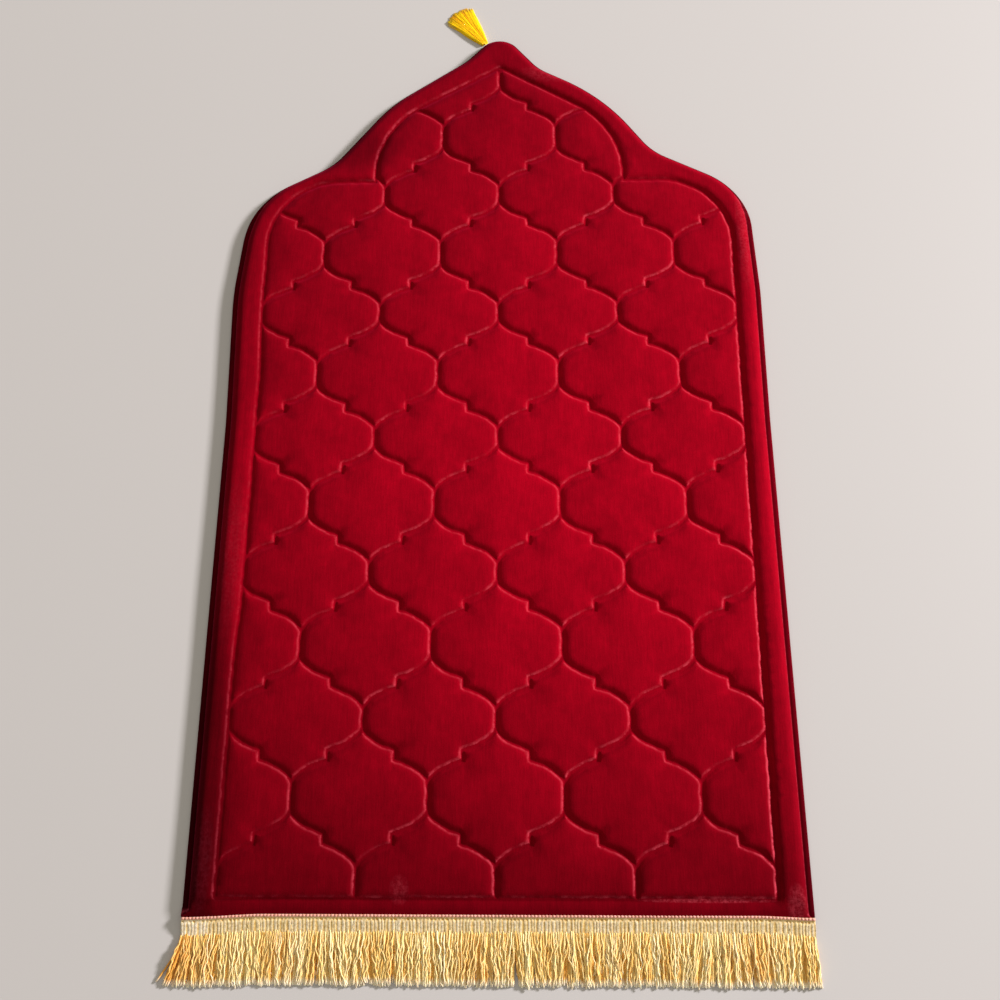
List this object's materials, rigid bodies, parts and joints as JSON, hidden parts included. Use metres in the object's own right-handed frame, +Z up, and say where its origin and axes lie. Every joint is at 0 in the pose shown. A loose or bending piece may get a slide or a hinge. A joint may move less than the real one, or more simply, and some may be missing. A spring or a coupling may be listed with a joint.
{
  "type": "prayer rug",
  "caption": "Flat padded prayer rug with an arched head, pressed lantern trellis, woven heading with a fringe at the foot and a yarn tassel at the tip.",
  "frame": {"origin": "middle of the bounding box on the floor, under the middle of the mat", "axes": "+Y from the fringed foot to the arched tip, +X to the right when standing at the foot, +Z up out of the pile"},
  "size_m": [0.648, 1.2158, 0.013],
  "materials": {
    "plush_red": "deep red short-pile plush, padded and pressed into a trellis, with a soft sheen on its rolled edges",
    "gold_yarn": "pale gold ribbed tape with loose gold and ochre yarn locks",
    "yellow_yarn": "bright yellow loose yarn with orange-ochre streaks"
  },
  "bodies": {
    "root": {"mat": "plush_red", "fringe": "gold_yarn", "tassel": "yellow_yarn"}
  },
  "joints": []
}
